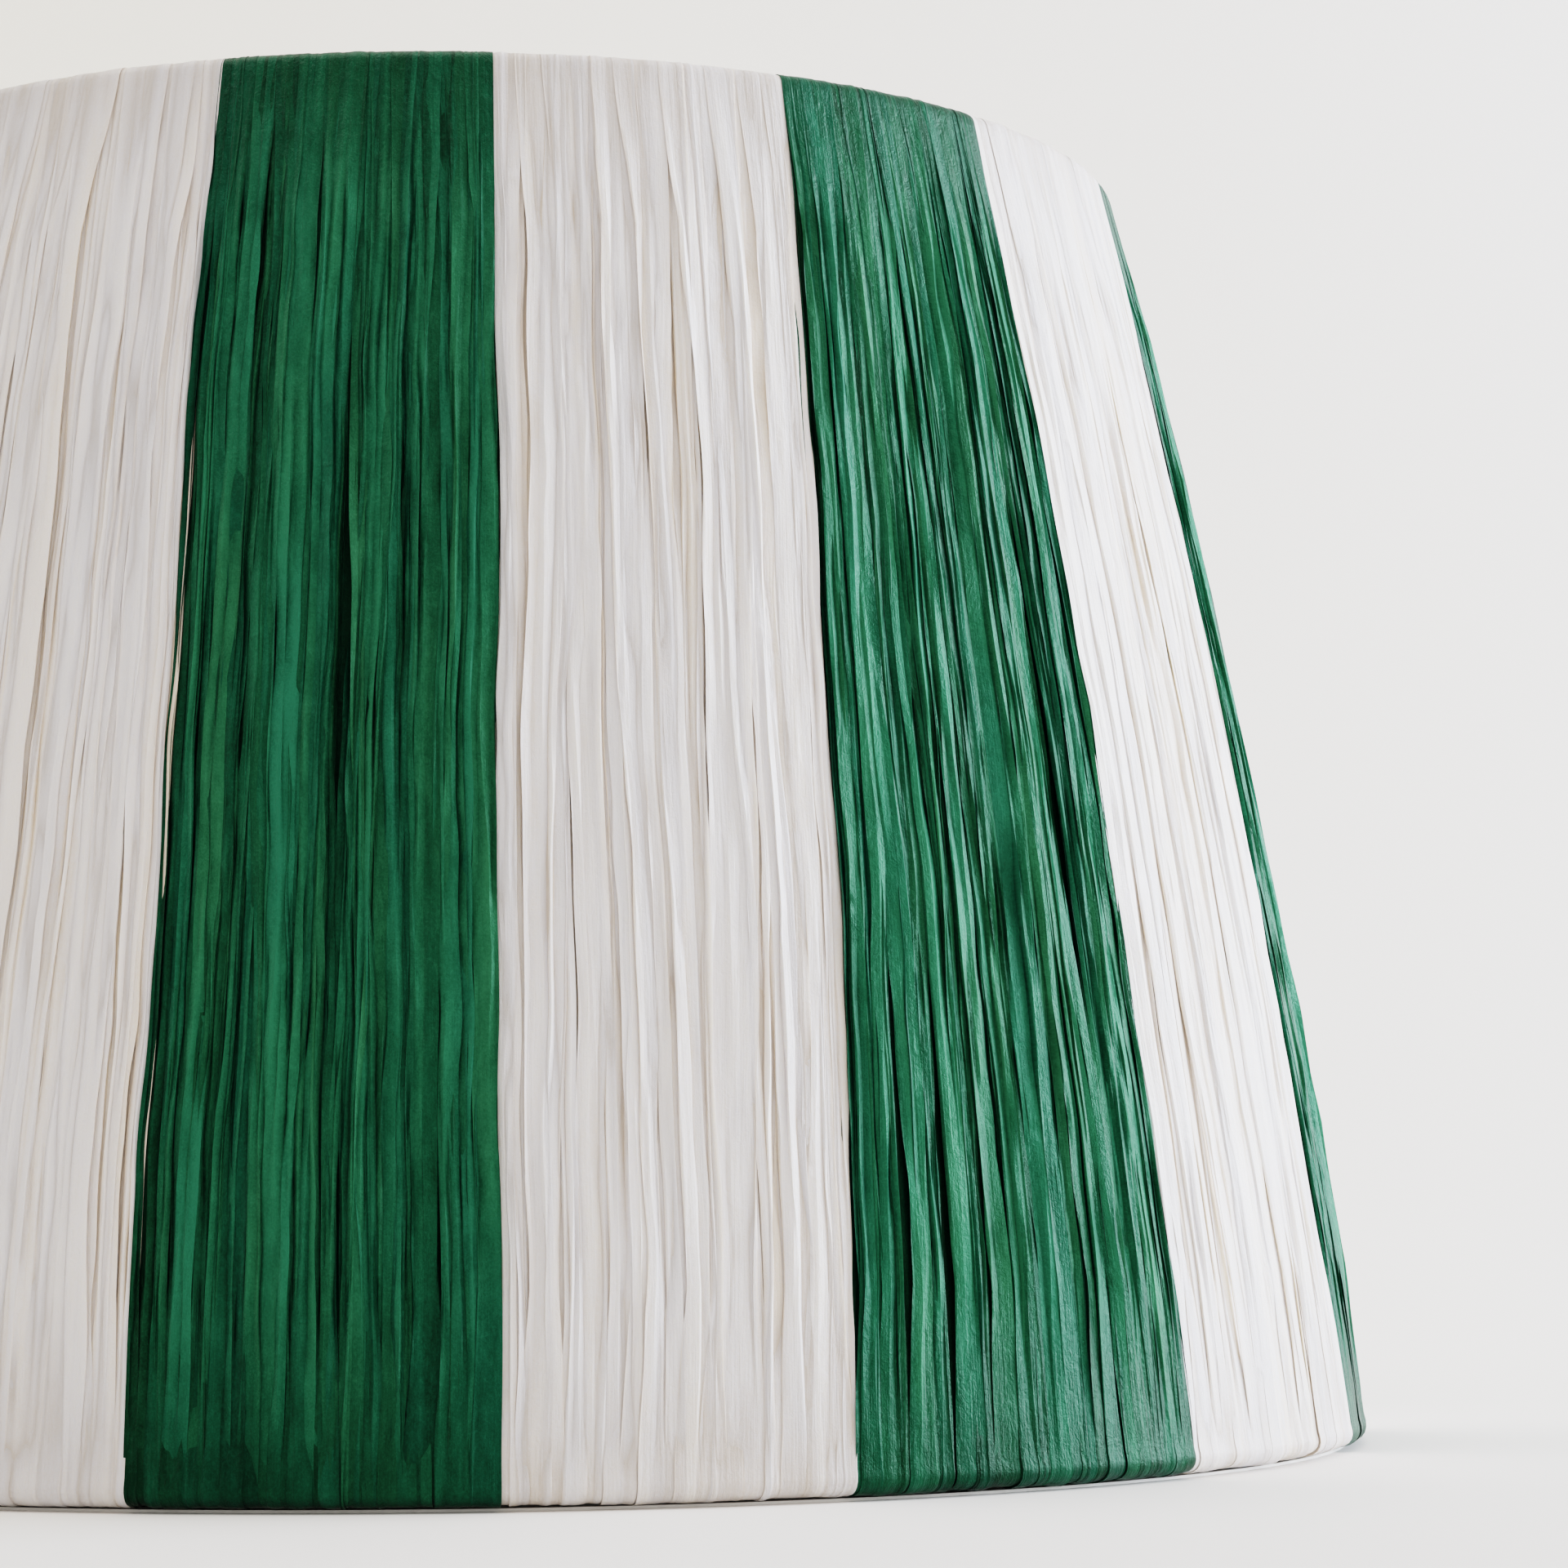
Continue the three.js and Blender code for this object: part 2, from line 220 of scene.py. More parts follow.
class Mesh:
    """Gathers ribbons as closed bands and makes one Blender mesh of them."""

    def __init__(self):
        self.points, self.faces, self.row = [], [], []
        self.weave, self.tone, self.relief = [], [], []
        self.count = 0

    def add_band(self, grid, weave, tone, relief):
        """grid is rows x columns x 3, and closes on itself both ways. tone has a value per column."""
        rows, columns = grid.shape[:2]
        index = np.arange(rows * columns).reshape(rows, columns) + self.count
        below = np.roll(index, -1, axis=0)
        corners = index, np.roll(index, -1, axis=1), np.roll(below, -1, axis=1), below
        quads = np.stack(corners, axis=-1)
        self.points.append(grid.reshape(-1, 3))
        self.faces.append(quads.reshape(-1, 4))
        self.weave.append(weave.reshape(-1, 3))
        self.tone.append(np.tile(tone, rows))
        self.relief.append(relief.reshape(-1))
        self.row.append(np.repeat(np.arange(rows) + self.count, columns))
        self.count += rows * columns

    def build(self, name, material):
        points = np.concatenate(self.points).astype(np.float32)
        faces = np.concatenate(self.faces).astype(np.int32)
        mesh = bpy.data.meshes.new(name)
        mesh.vertices.add(len(points))
        mesh.vertices.foreach_set("co", points.ravel())
        mesh.loops.add(faces.size)
        mesh.loops.foreach_set("vertex_index", faces.ravel())
        mesh.polygons.add(len(faces))
        mesh.polygons.foreach_set("loop_start", np.arange(0, faces.size, 4, dtype=np.int32))
        mesh.polygons.foreach_set("use_smooth", np.ones(len(faces), bool))
        mesh.update(calc_edges=True)
        # relief holds each point's height plus painted shade, which the materials turn into darker colour.
        for key, kind, field, values in (("weave", "FLOAT_VECTOR", "vector", self.weave),
                                         ("tone", "FLOAT", "value", self.tone),
                                         ("relief", "FLOAT", "value", self.relief)):
            data = mesh.attributes.new(key, kind, "POINT").data
            data.foreach_set(field, np.concatenate(values).astype(np.float32).ravel())
        mesh.set_sharp_from_angle(angle=CREASE_ANGLE)
        self.smooth_along(mesh)
        mesh.materials.append(material)
        piece = bpy.data.objects.new(name, mesh)
        bpy.context.scene.collection.objects.link(piece)
        return piece

    def smooth_along(self, mesh):
        """Keeps only the creases along the ribbons sharp, so the turns over the rings stay round."""
        pairs = np.empty(len(mesh.edges) * 2, np.int32)
        mesh.edges.foreach_get("vertices", pairs)
        row = np.concatenate(self.row)[pairs.reshape(-1, 2)]
        sharp = mesh.attributes["sharp_edge"].data
        flags = np.empty(len(mesh.edges), bool)
        sharp.foreach_get("value", flags)
        sharp.foreach_set("value", flags & (row[:, 0] != row[:, 1]))


def stripe_edges():
    """(angle, lean) in degrees of each edge between two stripes, right round the shade."""
    edges, angle = [], 0
    for turns, lean in 2 * tuple(zip(HALF_TURNS, HALF_LEANS)):
        edges.append((angle, lean))
        angle += turns
    edges.append((angle, HALF_LEANS[0]))
    return edges


def edge_angle(edge, loop):
    """The angle of an edge along the loop, with a slow waver that both its stripes share."""
    phase = np.random.default_rng(SEED * 100 + edge[0] % 360).uniform(0, 2 * math.pi, 3)
    waver = sum(np.sin(loop.place[:, 1] * turns / MM + start) * share
                for (turns, share), start in zip(WAVES, phase))
    straight = np.radians(edge[0] + edge[1] * loop.climb)
    return straight + EDGE_WAVE * waver * loop.press / loop.place[:, 0]


@dataclass
class Folds:
    """How one colour of ribbon gathers. Widths in millimetres, slopes as rise over run.

    cover: the width of all the turns side by side, against the width of the stripe.
    open_share, cord_share: how many turns lie open, and how many are rolled into one ridge.
    creases: how many facets an open turn has. broad, soft: their widths and slopes.
    narrow, steep: the widths and slopes of the facets of a rolled or folded turn.
    lifts: ranges of height above the layer below, for open, rolled and folded turns.
    ripple, crumple: how much the facets' heights wander along a turn, slowly and sharply.
    """

    cover: float
    open_share: float
    cord_share: float
    creases: tuple
    broad: tuple
    soft: tuple
    narrow: tuple
    steep: tuple
    lifts: tuple
    ripple: float
    crumple: float

    def hem(self, rng):
        """A narrow facet at an edge, mostly turned down, at times curled up to catch the light."""
        way = -0.6 if rng.uniform() < 0.2 else 1
        return rng.uniform(*self.narrow) * 0.4, way * rng.uniform(0.2, 1.3)

    def facets(self, rng):
        """The (width, slope) of each facet across a turn of ribbon, and the range of its lift."""
        draw = rng.uniform()
        if draw < self.open_share:
            way = rng.choice((-1, 1))
            flat = []
            for _ in range(rng.integers(*self.creases)):
                flat.append((rng.uniform(*self.broad), way * rng.uniform(*self.soft)))
                way = -way
            left, right = self.hem(rng), self.hem(rng)
            return [left] + flat + [(right[0], -right[1])], self.lifts[0]
        if draw < self.open_share + self.cord_share:
            wide = rng.uniform(*self.narrow)
            up, down = rng.uniform(*self.steep), rng.uniform(*self.steep)
            return [(wide, up), (wide * 0.8, -down)], self.lifts[1]
        way = rng.choice((-1, 1))
        folds = []
        for _ in range(rng.integers(3, 7)):
            folds.append((rng.uniform(*self.narrow), way * rng.uniform(*self.steep)))
            way = -way if rng.uniform() < 0.85 else way
        return folds, self.lifts[2]

    def section(self, rng):
        """Places, heights and facet sizes across a turn of ribbon, then its lift, in metres."""
        facets, lifts = self.facets(rng)
        x, h, size = [0.0], [0.0], [facets[0][0]]
        for width, slope in facets:
            if width > WIDE_FACET:
                x.append(x[-1] + width / 2)
                h.append(h[-1] + slope * width / 2 + rng.normal(0, 0.04) * width)
                size.append(width)
                slope = slope + (h[-2] + slope * width / 2 - h[-1]) / (width / 2)
                width = width / 2
            x.append(x[-1] + width)
            h.append(h[-1] + slope * width)
            size.append(width)
        x, h = np.array(x), np.array(h)
        columns = (x - x[-1] / 2) * MM, (h - h.mean()) * MM, np.array(size) * MM
        return columns, rng.uniform(*lifts) * MM


GREEN_FOLDS = Folds(cover=1.9, open_share=0.42, cord_share=0.16, creases=(2, 5),
                    broad=(0.35, 1.15), soft=(0.10, 0.50), narrow=(0.22, 0.62), steep=(0.35, 1.15),
                    lifts=((0.1, 0.5), (0.15, 0.5), (0.0, 0.35)), ripple=0.14, crumple=0.13 * MM)
WHITE_FOLDS = Folds(cover=1.75, open_share=0.6, cord_share=0.16, creases=(2, 5),
                    broad=(0.6, 2.1), soft=(0.02, 0.18), narrow=(0.3, 0.7), steep=(0.3, 1.0),
                    lifts=((0.1, 0.45), (0.2, 0.6), (0.0, 0.3)), ripple=0.10, crumple=0.08 * MM)


def level_section(rng, width):
    """The broad under layer, which only shows at the bottom of the gaps."""
    x = np.linspace(-width / 2, width / 2, 4)
    return x, rng.normal(0, 0.1 * MM, 4), np.full(4, width / 4)


def sway_at(sway, share):
    """The sideways wave that neighbouring turns share, at one place across the stripe."""
    place = share * (sway.shape[1] - 1)
    left = min(int(place), sway.shape[1] - 2)
    return sway[:, left] + (sway[:, left + 1] - sway[:, left]) * (place - left)


def held(place, low, high):
    """Presses what strays past the limits almost back to them."""
    inside = np.clip(place, low, high)
    return inside + 0.12 * (place - inside)


def eased(pressed, loose):
    """From the pressed value where the rings hold the ribbon flat, up to 1 where it is loose."""
    return pressed + (1 - pressed) * loose


@dataclass
class Way:
    """How the turns of one layer may stray.

    sway: the sideways wave that neighbours share. spread: how far a turn wanders by itself.
    ripple, crumple: how much its facets' heights wander, slowly and sharply.
    overshoot: how far it may pass the stripe's edges. shade: painted shade added to its relief, which
    colours it darker.
    """

    sway: np.ndarray
    spread: float
    ripple: float
    crumple: float
    overshoot: float
    shade: float


def room_in_stripe(edges, loop):
    """The angle where a stripe starts, and its width in metres, at each row of the loop."""
    radius = loop.place[:, 0]
    first, last = edge_angle(edges[0], loop), edge_angle(edges[1], loop)
    if edges[0][0] in LUG_ANGLES:
        first = first + loop.beside_lug * LUG_ROOM / radius
    if edges[1][0] in LUG_ANGLES:
        last = last - loop.beside_lug * LUG_ROOM / radius
    return first, (last - first) * radius


def strayed_columns(rng, loop, places, size):
    """The places of a turn's columns, drifting along the loop but never crossing one another."""
    columns = len(places)
    breathe = 1 + 0.12 * drift(rng, loop, 45 * MM) + 0.5 * (1 - loop.press)
    across = places[None, :] * breathe[:, None]
    for share, length, sharp in COLUMN_DRIFTS:
        across = across + share * size * drift(rng, loop, length, columns, sharp)
    across = across + COLUMN_JITTER * drift(rng, loop, 8 * MM, columns)
    return np.maximum.accumulate(across, axis=1) + np.arange(columns) * 0.02 * MM


def centre_line(rng, loop, share, width, room, way):
    """How far the middle of a turn lies from the stripe's first edge, at each row of the loop."""
    wander = sum(part * drift(rng, loop, length, sharp=sharp) for part, length, sharp in WANDERS)
    free = 1 - 0.9 * abs(2 * share - 1) ** 5
    half = width / 2
    crossing = rng.normal(0, CROSSING) * 2 * loop.climb
    stray = free * (way.spread * wander + crossing + sway_at(way.sway, share))
    centre = half + share * (room - width) + stray
    return np.clip(centre, half - way.overshoot, room - half + way.overshoot)


def add_ribbon(mesh, rng, loop, edges, share, section, lift, way):
    """One turn of ribbon, a closed band. share is its place across the stripe, from 0 to 1."""
    places, heights, size = section
    columns = len(places)
    radius = loop.place[:, 0]
    loose = loop.press[:, None]
    first, room = room_in_stripe(edges, loop)
    across = strayed_columns(rng, loop, places, size)
    centre = centre_line(rng, loop, share, places[-1] - places[0], room, way)[:, None]

    swell = np.clip(1 + 0.6 * drift(rng, loop, 38 * MM, columns), 0.05, 2.2)
    relief = heights * swell + way.ripple * size * drift(rng, loop, 35 * MM, columns)
    relief = relief + way.crumple * drift(rng, loop, 9 * MM, columns, sharp=True)
    relief = relief * eased(RIM_RELIEF, loose)
    tilt = rng.normal(0, 0.08) + 0.09 * drift(rng, loop, 55 * MM)
    own_lift = (lift + LIFT_WANDER * drift(rng, loop, 70 * MM))[:, None] * eased(RIM_LIFT, loose)
    own_lift = own_lift + rng.uniform(*FOOT_UNEVEN) * loop.foot[:, None]
    top = own_lift + relief + tilt[:, None] * across * eased(RIM_TILT, loose)

    across = held(centre + across, -way.overshoot, room[:, None] + way.overshoot) - centre
    under_across = across[:, [-1, 0]] * UNDERSIDE_WIDTH
    under = np.repeat((top.min(axis=1) - PAPER)[:, None], 2, axis=1)
    height = np.concatenate([top, under], axis=1)
    across = np.concatenate([across, under_across], axis=1)
    angle = first[:, None] + (centre + across) / radius[:, None]
    r = loop.place[:, :1] + loop.normal[:, :1] * height
    z = loop.place[:, 1:] + loop.normal[:, 1:] * height
    grid = np.stack([r * np.cos(angle), r * np.sin(angle), z], axis=-1)

    own = rng.uniform(0, 100)
    along = np.broadcast_to(loop.along[:, None] / MM, across.shape)
    weave = np.stack([across / MM + own, along, np.full(across.shape, own)], axis=-1)
    # The value that colours the paper: its height, plus painted shade on the underside, the under layer
    # and the edges.
    painted_shade = np.concatenate([(own_lift + relief) / MM, np.full(under.shape, UNDERSIDE_PAINTED_SHADE)], axis=1)
    painted_shade = painted_shade + way.shade
    # Painted shadow along the turn's two edges, weaker where the rings press it flat.
    painted_shade[:, [0, columns - 1]] -= EDGE_PAINTED_SHADOW * eased(RIM_PAINTED_SHADOW, loose)
    tone = rng.uniform(-1, 1) + rng.normal(0, 0.4, height.shape[1])
    mesh.add_band(grid[:, ::-1], weave[:, ::-1], tone, painted_shade[:, ::-1])


def build_wrap(number, edges, material, name, proud, folds):
    """One stripe: a broad, level under layer, and the gathered turns on top of it."""
    rng = np.random.default_rng(SEED * 1000 + number)
    mesh = Mesh()
    under, top = Loop(**UNDER_LAYER), Loop(**TOP_LAYER)
    middle = math.radians(edges[1][0] - edges[0][0]) * (BOTTOM[0] + TOP[0]) / 2

    top_way = Way(sway=SWAY * drift(rng, top, 60 * MM, 8), spread=SPREAD, ripple=folds.ripple,
                  crumple=folds.crumple, overshoot=OVERSHOOT, shade=0.0)
    under_way = Way(sway=np.zeros((len(under.along), 2)), spread=UNDER_SPREAD, ripple=0.05,
                    crumple=0.0, overshoot=UNDER_OVERSHOOT, shade=UNDER_PAINTED_SHADE)
    count = round(middle / UNDER_PITCH)
    for i in range(count):
        share = -0.05 + 1.1 * (i + rng.uniform(-0.2, 0.2)) / (count - 1)
        section = level_section(rng, rng.uniform(*UNDER_WIDTH))
        lift = rng.uniform(-0.1, 0.3) * MM
        add_ribbon(mesh, rng, under, edges, share, section, lift, under_way)

    sections, total = [], 0
    while total < middle * folds.cover:
        sections.append(folds.section(rng))
        total += np.ptp(sections[-1][0][0])
    widths = np.array([np.ptp(columns[0]) for columns, lift in sections])
    shares = np.cumsum(widths) - widths / 2
    shares = (shares - shares[0]) / (shares[-1] - shares[0])
    for share, (columns, lift) in zip(shares, sections):
        add_ribbon(mesh, rng, top, edges, share, columns, lift + proud, top_way)

    piece = mesh.build(name, material)
    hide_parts(name.replace("_ribbons", "_raffia_wrap"))
    return piece


# ---- materials ----


class Nodes:
    """Short calls for building a node material."""

    def __init__(self, name):
        self.material = bpy.data.materials.new(name)
        self.material.use_nodes = True
        self.tree = self.material.node_tree
        self.shader = self.tree.nodes["Principled BSDF"]

    def set(self, node, key, value):
        """Links or sets one input of a node. key is its name or its number."""
        socket = node.inputs[key]
        if isinstance(value, bpy.types.NodeSocket):
            self.tree.links.new(value, socket)
        else:
            socket.default_value = value

    def attribute(self, name, output="Fac"):
        node = self.tree.nodes.new("ShaderNodeAttribute")
        node.attribute_name = name
        return node.outputs[output]

    def math(self, operation, a, b=0.0, c=0.0):
        node = self.tree.nodes.new("ShaderNodeMath")
        node.operation = operation
        for key, value in enumerate((a, b, c)):
            self.set(node, key, value)
        return node.outputs[0]

    def noise(self, vector, scale, detail=3.0, stretch=(1, 1, 1), rough=0.5, distortion=0.0):
        mapping = self.tree.nodes.new("ShaderNodeMapping")
        mapping.inputs["Scale"].default_value = stretch
        self.set(mapping, "Vector", vector)
        node = self.tree.nodes.new("ShaderNodeTexNoise")
        self.set(node, "Vector", mapping.outputs[0])
        self.set(node, "Scale", scale)
        self.set(node, "Detail", detail)
        self.set(node, "Roughness", rough)
        self.set(node, "Distortion", distortion)
        return node.outputs["Fac"]

    def crease(self, noise):
        """Sharp valleys where the noise crosses its middle, as in paper that has been crushed."""
        return self.math("ABSOLUTE", self.math("SUBTRACT", noise, 0.5))

    def ramp(self, factor, stops):
        node = self.tree.nodes.new("ShaderNodeValToRGB")
        elements = node.color_ramp.elements
        while len(elements) < len(stops):
            elements.new(0.5)
        for element, (position, colour) in zip(elements, stops):
            element.position = position
            element.color = (*colour, 1)
        self.set(node, "Fac", factor)
        return node.outputs["Color"]

    def bump(self, height, distance, strength=1.0, normal=None):
        node = self.tree.nodes.new("ShaderNodeBump")
        self.set(node, "Height", height)
        self.set(node, "Distance", distance)
        self.set(node, "Strength", strength)
        if normal is not None:
            self.set(node, "Normal", normal)
        return node.outputs[0]


def raffia_material(name, colours, hues, gloss, shine, rough, level, painted_shade, mottle, gather, crinkle, glow):
    """Crinkled paper ribbon: a tone and hue for each turn, paper grain, and painted shade that darkens the
    colour in the folds and lightens it on the raised paper.
    """
    n = Nodes(name)
    weave = n.attribute("weave", "Vector")
    tone = n.attribute("tone")
    relief = n.attribute("relief")
    grain = n.noise(weave, 1.0, 3, (4.0, 3.0, 1), 0.65)
    fibres = n.noise(weave, 1.0, 3, (5.0, 0.25, 1), 0.6)
    pleats = n.noise(weave, 1.0, 2, (1.4, 0.07, 1), 0.6)
    patches = n.noise(weave, 1.0, 4, (0.5, 0.16, 1), 0.6)
    crinkles = n.crease(n.noise(weave, 1.0, 5, (0.34, 0.20, 1), 0.62, 0.5))
    wrinkles = n.crease(n.noise(weave, 1.0, 4, (1.1, 0.9, 1), 0.65, 0.4))
    creases = n.noise(weave, 1.0, 3, (2.6, 0.10, 1), 0.55, 0.3)

    # Painted shade and light: the lower the relief, the darker the colour, and the higher, the lighter.
    value = n.math("MULTIPLY_ADD", tone, 0.15 * mottle, 0.5 - painted_shade * level)
    value = n.math("MULTIPLY_ADD", relief, painted_shade, value)
    # Grain, fibres, pleats and patches mottle the paper; the crinkle and wrinkle lines add painted shade
    # in their valleys.
    for noise, middle, weight in ((grain, 0.5, 0.5), (fibres, 0.5, 0.2), (pleats, 0.5, 0.2),
                                  (patches, 0.5, 0.5), (wrinkles, 0.07, 0.5), (crinkles, 0.07, 0.4)):
        value = n.math("MULTIPLY_ADD", n.math("SUBTRACT", noise, middle), weight * mottle, value)
    colour = n.ramp(value, tuple(zip((0.1, 0.5, 1.0), colours)))
    hue = n.noise(weave, 1.0, 1, (0.05, 0.012, 1.7), 0.5)
    mix = n.tree.nodes.new("ShaderNodeMix")
    mix.data_type = "RGBA"
    mix.blend_type = "MULTIPLY"
    mix.inputs["Factor"].default_value = 1.0
    n.tree.links.new(colour, mix.inputs["A"])
    n.tree.links.new(n.ramp(hue, tuple(zip((0.35, 0.5, 0.65), hues))), mix.inputs["B"])
    n.set(n.shader, "Base Color", mix.outputs["Result"])
    n.set(n.shader, "Roughness", n.math("MULTIPLY_ADD", n.math("SUBTRACT", grain, 0.5), 0.25, rough))
    n.set(n.shader, "Specular IOR Level", gloss)
    n.set(n.shader, "Specular Tint", (*shine, 1))
    if glow:
        n.set(n.shader, "Subsurface Weight", glow)
        n.set(n.shader, "Subsurface Radius", (1.0, 0.85, 0.6))
        n.set(n.shader, "Subsurface Scale", 1.5 * MM)
    gathered = n.bump(n.math("MULTIPLY_ADD", creases, 0.6, pleats), gather, 1.0)
    coarse = n.bump(n.math("MULTIPLY_ADD", wrinkles, 0.4, crinkles), crinkle, 1.0, gathered)
    n.set(n.shader, "Normal", n.bump(n.math("ADD", fibres, grain), 0.03 * MM, 1.0, coarse))
    return n.material


# Ramp from dark to light: painted shade in the low folds, the green's own colour, painted light on the
# raised paper.
GREEN = raffia_material("green_paper",
                        ((0.0012, 0.012, 0.0070), (0.0076, 0.060, 0.035), (0.028, 0.146, 0.083)),
                        ((0.92, 0.98, 1.06), (1, 1, 1), (1.25, 1.0, 0.92)),
                        gloss=0.30, shine=(0.25, 1.0, 0.52), rough=0.36, level=0.4, painted_shade=0.55, mottle=1.0,
                        gather=0.14 * MM, crinkle=0.42 * MM, glow=0)
# The cream low end is painted warm shade in the folds, standing in for light that passes through the
# paper.
WHITE = raffia_material("white_paper",
                        ((0.80, 0.68, 0.55), (0.85, 0.80, 0.765), (0.88, 0.85, 0.835)),
                        ((0.98, 0.985, 1), (1, 1, 1), (1, 0.985, 0.96)),
                        gloss=0.4, shine=(1, 1, 1), rough=0.40, level=0.25, painted_shade=0.55, mottle=0.5,
                        gather=0.14 * MM, crinkle=0.22 * MM, glow=0.35)


def plain_material(name, colour, roughness, scale, spread, bump):
    """A smooth coat or plastic with a faint mottle."""
    n = Nodes(name)
    place = n.tree.nodes.new("ShaderNodeTexCoord").outputs["Object"]
    mottle = n.noise(place, scale, 4)
    low = [c * (1 - spread) for c in colour]
    n.set(n.shader, "Base Color", n.ramp(mottle, ((0.3, low), (0.7, colour))))
    n.set(n.shader, "Roughness", n.math("MULTIPLY_ADD", mottle, 0.15, roughness - 0.07))
    n.set(n.shader, "Normal", n.bump(mottle, bump))
    return n.material


STEEL = plain_material("coated_steel", (0.80, 0.79, 0.76), 0.38, 900, 0.06, 0.04 * MM)
LINER = plain_material("liner_plastic", (0.86, 0.85, 0.81), 0.48, 250, 0.04, 0.03 * MM)
REDUCER = plain_material("reducer_plastic", (0.86, 0.86, 0.83), 0.33, 700, 0.03, 0.02 * MM)


# ---- frame, fitter and liner ----


class Solid:
    """Gathers closed shapes, each lofted through sections of equal point count, into one mesh."""

    def __init__(self):
        self.points, self.faces = [], []

    def loft(self, sections, closed=False):
        """sections is rows x points x 3. The rows join up when closed, and are capped when not."""
        rows, count = sections.shape[:2]
        start = sum(len(points) for points in self.points)
        self.points.append(sections.reshape(-1, 3))
        for row in range(rows if closed else rows - 1):
            here, there = start + row * count, start + (row + 1) % rows * count
            for k in range(count):
                after = (k + 1) % count
                self.faces.append((here + k, here + after, there + after, there + k))
        if not closed:
            self.faces.append(tuple(range(start, start + count)))
            self.faces.append(tuple(range(start + (rows - 1) * count, start + rows * count)))

    def turned(self, corners, fillet, segments):
        """A closed outline of (radius, height) corners, rounded and turned about the Z axis."""
        outline = rounded(corners, fillet)
        radius, height = outline[None, :, 0], outline[None, :, 1]
        angles = np.linspace(0, 2 * math.pi, segments, endpoint=False)[:, None]
        heights = np.broadcast_to(height, (segments, len(outline)))
        sections = np.stack([radius * np.cos(angles), radius * np.sin(angles), heights], axis=-1)
        self.loft(sections, closed=True)

    def tube(self, path, radii, sides=20):
        """A round bar along a path in the XZ plane, with a radius at each point."""
        ahead = np.gradient(path, axis=0)
        ahead /= np.linalg.norm(ahead, axis=1)[:, None]
        across = np.stack([-ahead[:, 1], ahead[:, 0]], axis=1)
        turn = np.linspace(0, 2 * math.pi, sides, endpoint=False)
        sections = np.zeros((len(path), sides, 3))
        for k, (place, side, radius) in enumerate(zip(path, across, radii)):
            sections[k, :, 0] = place[0] + side[0] * radius * np.cos(turn)
            sections[k, :, 2] = place[1] + side[1] * radius * np.cos(turn)
            sections[k, :, 1] = radius * np.sin(turn)
        self.loft(sections)

    def block(self, low, high, fillet, turn=0.0):
        """A box with rounded corners, turned about the Z axis."""
        steps = fillet * (1 - np.cos(np.linspace(0, math.pi / 2, 4)))
        inset = fillet * (1 - np.sin(np.linspace(0, math.pi / 2, 4)))
        xs = np.concatenate([low[0] + steps, high[0] - steps[::-1]])
        insets = np.concatenate([inset, inset[::-1]])
        sections = []
        for x, shrink in zip(xs, insets):
            y0, y1, z0, z1 = low[1] + shrink, high[1] - shrink, low[2] + shrink, high[2] - shrink
            outline = rounded([(y0, z0), (y1, z0), (y1, z1), (y0, z1)], max(fillet - shrink, fillet * 0.1))
            sections.append(np.column_stack([np.full(len(outline), x), outline]))
        self.loft(np.array(sections) @ np.array(Matrix.Rotation(turn, 3, "Z")).T)

    def bead(self, rng, centre, size):
        """A lumpy bead of weld."""
        turn = np.linspace(0, 2 * math.pi, 18, endpoint=False)
        rise = np.linspace(-0.97, 0.97, 11)
        lumps = 1 + 0.09 * rng.standard_normal((len(rise), len(turn)))
        lumps = (lumps + np.roll(lumps, 1, axis=1) + np.roll(lumps, -1, axis=1)) / 3
        girth = np.sqrt(1 - rise ** 2)[:, None] * lumps
        sections = np.stack([np.broadcast_to(rise[:, None], girth.shape),
                             girth * np.cos(turn), girth * np.sin(turn)], axis=-1)
        self.loft(sections * np.array(size) + np.array(centre))

    def build(self, name, body, material, slot, replaces, turn=0.0):
        """Makes the piece, turned about the Z axis, and puts it on its body in place of a CAD node."""
        mesh = bpy.data.meshes.new(name)
        mesh.from_pydata(np.concatenate(self.points).tolist(), [], self.faces)
        mesh.transform(Matrix.Rotation(turn, 4, "Z"))
        work = bmesh.new()
        work.from_mesh(mesh)
        bmesh.ops.recalc_face_normals(work, faces=work.faces)
        work.to_mesh(mesh)
        work.free()
        mesh.polygons.foreach_set("use_smooth", np.ones(len(mesh.polygons), bool))
        mesh.set_sharp_from_angle(angle=math.radians(35))
        mesh.materials.append(material)
        piece = bpy.data.objects.new(name, mesh)
        bpy.context.scene.collection.objects.link(piece)
        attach(piece, body)
        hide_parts(replaces)


def rounded(corners, fillet, steps=4):
    """A closed outline with each corner rounded off."""
    corners = [np.array(corner, float) for corner in corners]
    out = []
    for before, corner, after in zip(corners[-1:] + corners[:-1], corners, corners[1:] + corners[:1]):
        back, on = before - corner, after - corner
        reach = min(fillet, 0.45 * np.linalg.norm(back), 0.45 * np.linalg.norm(on))
        start = corner + back / np.linalg.norm(back) * reach
        end = corner + on / np.linalg.norm(on) * reach
        for t in np.linspace(0, 1, steps):
            out.append((1 - t) ** 2 * start + 2 * t * (1 - t) * corner + t ** 2 * end)
    return np.array(out)


def bezier(start, control, end, steps):
    """A bend from start towards end, without its last point."""
    t = np.linspace(0, 1, steps, endpoint=False)[:, None]
    return (1 - t) ** 2 * np.array(start) + 2 * t * (1 - t) * np.array(control) + t ** 2 * np.array(end)


